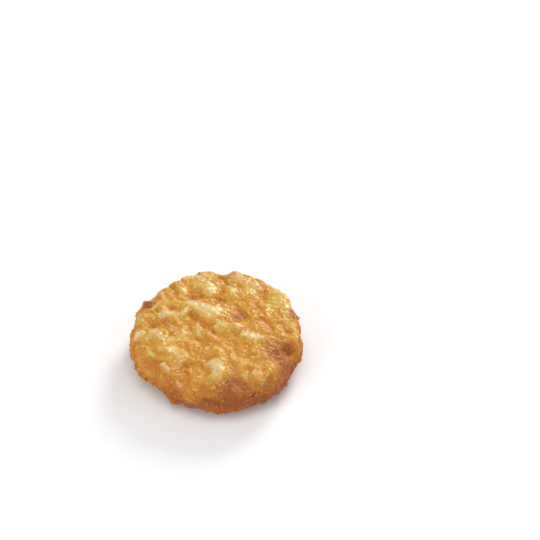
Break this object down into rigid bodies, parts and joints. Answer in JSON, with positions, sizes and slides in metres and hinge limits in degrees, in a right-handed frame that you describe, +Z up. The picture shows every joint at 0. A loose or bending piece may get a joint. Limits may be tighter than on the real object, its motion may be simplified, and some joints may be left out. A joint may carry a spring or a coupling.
{
  "type": "potato rosti",
  "caption": "Round pressed cake of coarsely grated potato, fried crisp and golden, with plump shreds and brown crumbs over its skin.",
  "frame": {"origin": "middle of the outline, on the surface that the base rests on", "axes": "+Z up through the thickness; -Y is the side that faces the viewer, with the craggiest rim; +X to the right"},
  "size_m": [0.061, 0.0624, 0.0166],
  "materials": {
    "fried_potato": "fried golden crust, oily on the plump shreds and dry and rough between them"
  },
  "bodies": {
    "root": {"rosti": "fried_potato"}
  },
  "joints": []
}
